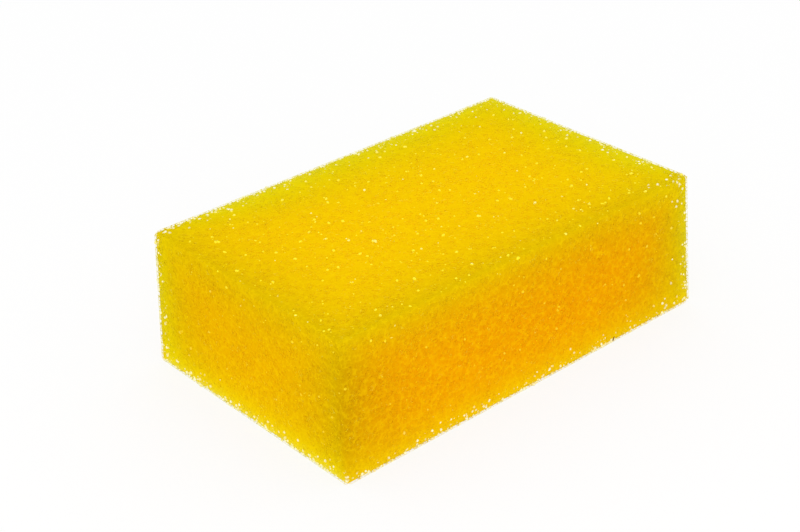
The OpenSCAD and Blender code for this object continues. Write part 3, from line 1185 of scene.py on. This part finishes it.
skin_points, skin_faces = [], []
for window in WINDOWS:
    ring, _ = in_every_cube(window)
    ring = ring[inside[ring].all(axis=1)]
    middles = points[ring].mean(axis=1)
    share = SKIN_SHARE + EDGE_SHARE * pale_share(middles, PALE_REACH)
    chosen = (depth_inside(middles) < SKIN_DEPTH) & (random.random(len(ring)) < share)
    for rim in points[ring[chosen]]:
        if random.random() < TORN_SHARE:
            middle = rim.mean(axis=0)
            arc = np.roll(rim, random.integers(len(rim)), axis=0)[:-1]
            rim = np.concatenate([arc, (middle + (arc - middle) * CRESCENT)[::-1]])
        skin_faces.append(list(range(len(skin_points), len(skin_points) + len(rim))))
        skin_points += rim.tolist()
print(len(skin_faces), "windows with a skin")
mesh = plain_mesh("windows", skin_points, (), skin_faces)
pieces.append(applied("cell_skins", mesh, SKIN_TREE, skin_finish, Thickness=SKIN_THICKNESS))

# %% [markdown]
# Beads sit on the sawn ends of struts. Which ends get one is drawn at random, and weights
# say where that is likely. A bead may be sunk a little way into the block, so that only
# its cap stands out. Lumps come first: they are small, and equally likely on every end.

# %% Sawn ends, and lumps on many of them
LUMPS = 7000
spots = net_points[np.unique(net[net >= len(points)])]
facing = side_depths(spots).argmin(axis=1)
outward = np.eye(3)[facing] * np.sign(spots - (0, 0, HEIGHT / 2))
print(len(spots), "sawn ends")


def beads(name, count, weights, sink, material, **sizes):
    chosen = random.choice(len(spots), count, replace=False, p=weights / weights.sum())
    mesh = plain_mesh("spots", (spots[chosen] - sink * outward[chosen]).tolist())
    pieces.append(applied(name, mesh, BEAD_TREE, material, **sizes))


beads("lumps", LUMPS, np.ones(len(spots)), 0, lump_finish, Segments=4, Rings=2,
      Least=0.12 * MM, Most=0.24 * MM, Skew=1.0, Stretch=1.5, Seed=3)

# %% [markdown]
# Glints are larger and fewer. On a real sponge they come in small rings and clusters, as
# the cell that burst there left several drops. So a few spots are drawn first, and the
# sawn ends near them are made many times more likely than the others.

# %% Glints of dried film
GLINTS = 1400
TOP_GLINTS = 2.8          # how much more likely a glint is on a flat side than on an upright one
RINGS = 90                # number of spots that glints gather round
RING_REACH = 0.9 * MM
RING_GAIN = 30            # how much more likely a glint is within that reach
GLINT_SINK = 0.2 * MM

likely = np.where(facing == 2, TOP_GLINTS, 1.0)
ring_middles = spots[random.choice(len(spots), RINGS, replace=False, p=likely / likely.sum())]
to_rings = np.linalg.norm(spots[:, None] - ring_middles, axis=2).min(axis=1)
likely *= np.where(to_rings < RING_REACH, RING_GAIN, 1)
beads("glints", GLINTS, likely, GLINT_SINK, skin_finish, Segments=6, Rings=3,
      Least=0.22 * MM, Most=0.66 * MM, Skew=2.2, Stretch=1.6, Seed=13)

# %% [markdown]
# Edge dots crowd along the airy edges, where the light from behind is painted on them as
# white, and thin out inwards. There are more of them at the foot, above all on the short
# sides, and a few lie higher up. The two back sides get only a third as many: whoever looks
# at those has the light behind them, and so many white dots would look like frost.

# %% White dots along the airy edges
EDGE_DOTS = 2700
DOT_REACH = 0.8 * PALE_REACH
LONG_SIDE_FOOT = 0.4      # what is left of the foot's share on the long sides
SCATTER_SHARE = 0.15      # weight of the dots that lie further from the foot's edges
SCATTER_REACH = 7 * MM
BACK_DOTS = 0.3           # how likely a dot is on the two back sides, against 1 elsewhere
DOT_SINK = 0.35 * MM

at_foot = np.clip(1 - spots[:, 2] / FOOT_HEIGHT, 0, 1)
at_foot *= np.where(facing == 1, LONG_SIDE_FOOT, 1.0)
pale_weights = pale_share(spots, DOT_REACH) * (1 + at_foot)
pale_weights += SCATTER_SHARE * at_foot * pale_share(spots, SCATTER_REACH)
pale_weights *= np.where(outward @ (1, 1, 0) > 0.5, BACK_DOTS, 1.0)
beads("edge_dots", EDGE_DOTS, pale_weights, DOT_SINK, dot_finish, Segments=6, Rings=3,
      Least=0.24 * MM, Most=0.68 * MM, Skew=1.7, Stretch=1.5, Seed=23)

# %% [markdown]
# The core comes last. It needs the middles of the froth's cells, each at the place to which
# it was shaken, and a mark on each that says if it stands open. Only those near the
# core's surface are handed to the tree.

# %% Core
CORE_GRID = 0.8 * MM      # size of a face
GATHER = 0.3              # how far the grid is gathered towards the edges, from 0 to 1
CELL_RADIUS = 0.6 * CELL  # radius of the ball that presses a pit
DIMPLE = 0.06 * MM        # depth of a pit
OPEN_DIMPLE = 0.16 * MM   # depth of a pit under a cell that stands open

middle_points = [in_block((cubes + middle + shaken[(*(cubes + origin).T, cell)]) * UNIT)
                 for cell, middle in enumerate(MIDDLES)]
middle_points = np.concatenate(middle_points)
middle_open = np.concatenate([is_open[(*(cubes + origin).T, cell)] for cell in range(len(MIDDLES))])
near_core = abs(outside_core(middle_points)) < CELL
middles_mesh = plain_mesh("middles", middle_points[near_core].tolist())
open_marks = middles_mesh.attributes.new("Open", "FLOAT", "POINT")
open_marks.data.foreach_set("value", middle_open[near_core].astype(float))
print(near_core.sum(), "cells along the core")
pieces.append(applied(
    "core", middles_mesh, CORE_TREE, core_finish,
    Size=(LENGTH, WIDTH, HEIGHT), Lean=LEAN, Inset=CORE_INSET, Round=CORE_ROUND,
    Airy_Round=LACE_ROUND, Foot=FOOT_HEIGHT, Grid=CORE_GRID, Cell_Radius=CELL_RADIUS,
    Dimple=DIMPLE, Open_Dimple=OPEN_DIMPLE, Gather=GATHER))

# %% [markdown]
# ## A crumb of dirt
# One dark crumb is caught in the long side, low down near the right end. It's a ball of
# small triangles, drawn long, with each point moved a little so that it looks broken off.

# %% Crumb
CRUMB_PLACE = (40.9 * MM, -WIDTH / 2 + 0.05 * MM, 1.15 * MM)
CRUMB_SIZE = (0.20 * MM, 0.16 * MM, 0.75 * MM)
CRUMB_LEAN = math.radians(28)
CRUMB_BREAKS = 0.18       # how far a point is moved, as a share of the crumb's size
CRUMB_DARK, CRUMB_PALE = dye(70, 40, 4), dye(140, 92, 16)
CRUMB_GRAIN = 0.3 * MM


def crumb_material():
    material, tree, shader = new_material("dirt", roughness=0.8, specular=0.2)
    place = add(tree, "ShaderNodeTexCoord").outputs["Object"]
    grain = add(tree, "ShaderNodeTexNoise", {"Vector": place, "Scale": 1 / CRUMB_GRAIN}).outputs["Fac"]
    tree.links.new(blended(tree, grain, CRUMB_DARK, CRUMB_PALE), shader.inputs["Base Color"])
    return material


ball = bmesh.new()
bmesh.ops.create_icosphere(ball, subdivisions=3, radius=1)
for point in ball.verts:
    point.co *= 1 + CRUMB_BREAKS * random.uniform(-1, 1)
lean = Matrix.Rotation(CRUMB_LEAN, 4, "Y")
ball.transform(Matrix.Translation(CRUMB_PLACE) @ lean @ Matrix.Diagonal((*CRUMB_SIZE, 1)))
crumb_mesh = bpy.data.meshes.new("crumb")
ball.to_mesh(crumb_mesh)
ball.free()
crumb_mesh.materials.append(crumb_material())
crumb = bpy.data.objects.new("crumb", crumb_mesh)
bpy.context.scene.collection.objects.link(crumb)
print("crumb has", len(crumb_mesh.polygons), "triangles")

# %% [markdown]
# ## Tied to the imported model
# The imported model knows one solid block. Each piece now says which body it moves with,
# and the block itself isn't drawn.

# %% Every piece is tied to the imported block
for piece in pieces + [crumb]:
    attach(piece, BODY)
    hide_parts(NODE)
print(len(pieces), "pieces of foam and a crumb ride on", BODY)

# %% [markdown]
# ## Floor and background
# The block lies on a plain white floor that runs out of sight. Seen by the camera, the
# floor is mostly a flat white with a faint share of real shading, which keeps the soft
# shadow under the block. Light that bounces off it onto the foam sees a plain white floor.
# The world is white too, like a tent of cloth round the block.

# %% Floor and world
FLOOR_SIZE = 6.0
FLOOR_WHITE = (0.95, 0.95, 0.95, 1)
SHADED_SHARE = 0.2        # how much of the real shading the camera sees on the floor


def seen_by_camera(tree):
    """1 for what the camera sees, directly or in a mirror or glass, else 0."""
    path = add(tree, "ShaderNodeLightPath").outputs
    mirrored = calc(tree, "MAXIMUM", path["Is Glossy Ray"], path["Is Transmission Ray"])
    return calc(tree, "MAXIMUM", path["Is Camera Ray"], mirrored)


def floor_material():
    material, tree, shader = new_material("floor_white", roughness=0.9, specular=0.1)
    shader.inputs["Base Color"].default_value = FLOOR_WHITE
    white = add(tree, "ShaderNodeEmission", {"Color": (1, 1, 1, 1), "Strength": 1.0})
    share = calc(tree, "MULTIPLY", seen_by_camera(tree), 1 - SHADED_SHARE)
    mixed = add(tree, "ShaderNodeMixShader", {0: share, 1: shader.outputs[0], 2: white.outputs[0]})
    tree.links.new(mixed.outputs[0], tree.nodes["Material Output"].inputs["Surface"])
    return material


half_floor = FLOOR_SIZE / 2
floor_corners = [(-half_floor, -half_floor, 0), (half_floor, -half_floor, 0),
                 (half_floor, half_floor, 0), (-half_floor, half_floor, 0)]
floor = bpy.data.objects.new("floor", plain_mesh("floor", floor_corners, (), [(0, 1, 2, 3)]))
floor.data.materials.append(floor_material())
bpy.context.scene.collection.objects.link(floor)

world = bpy.data.worlds.new("studio")
world.use_nodes = True
world.node_tree.nodes["Background"].inputs["Color"].default_value = (1, 1, 1, 1)
bpy.context.scene.world = world
print("floor", FLOOR_SIZE, "m across, under a white world")

# %% [markdown]
# ## Light
# The white tent lights the foam from all round. One large soft lamp behind the camera adds
# the little that brings out the top and the beads. From the side it would throw shadows
# into every cell, and the foam would look dirty.

# %% Lamp
def soft_lamp(name, place, size, power):
    lamp = bpy.data.lights.new(name, "AREA")
    lamp.size = size
    lamp.energy = power
    stand = bpy.data.objects.new(name, lamp)
    stand.location = place
    towards_block = Vector((0, 0, HEIGHT / 2)) - Vector(place)
    stand.rotation_euler = towards_block.to_track_quat("-Z", "Y").to_euler()
    bpy.context.scene.collection.objects.link(stand)
    print(name, "stands %.2f m from the block" % towards_block.length)


soft_lamp("camera_lamp", place=(-0.57, -0.63, 0.33), size=0.50, power=1.45)

# %% [markdown]
# ## Camera
# The camera stands at the corner of the block, looking down at about thirty degrees, and is
# rolled a touch. Its place is given as one would set up a tripod: a heading and a tilt
# towards the middle of the base, a distance, and a small step aside and up.

# %% Camera
HEADING, TILT, ROLL = (math.radians(angle) for angle in (39.86, 29.26, -2.46))
DISTANCE, STEP_ASIDE, STEP_UP = 0.6066, -0.0098, 0.0233
FRAME = 36                # width of the film, in millimetres
LENS = 75.85              # millimetres

back = Vector((-math.sin(HEADING) * math.cos(TILT), -math.cos(HEADING) * math.cos(TILT), math.sin(TILT)))
aside = Vector((0, 0, 1)).cross(back).normalized()
upward = back.cross(aside)
place = back * DISTANCE + aside * STEP_ASIDE + upward * STEP_UP
rolled_aside = math.cos(ROLL) * aside + math.sin(ROLL) * upward
rolled_up = math.cos(ROLL) * upward - math.sin(ROLL) * aside
camera = bpy.data.objects.new("camera", bpy.data.cameras.new("camera"))
axes = Matrix((rolled_aside, rolled_up, back)).transposed()
camera.matrix_world = Matrix.Translation(place) @ axes.to_4x4()
camera.data.sensor_width = FRAME
camera.data.lens = LENS
camera.data.clip_start = 0.01
bpy.context.scene.collection.objects.link(camera)
bpy.context.scene.camera = camera
bpy.context.scene.view_settings.view_transform = "Standard"
print("camera %.2f m from the block's base" % place.length)
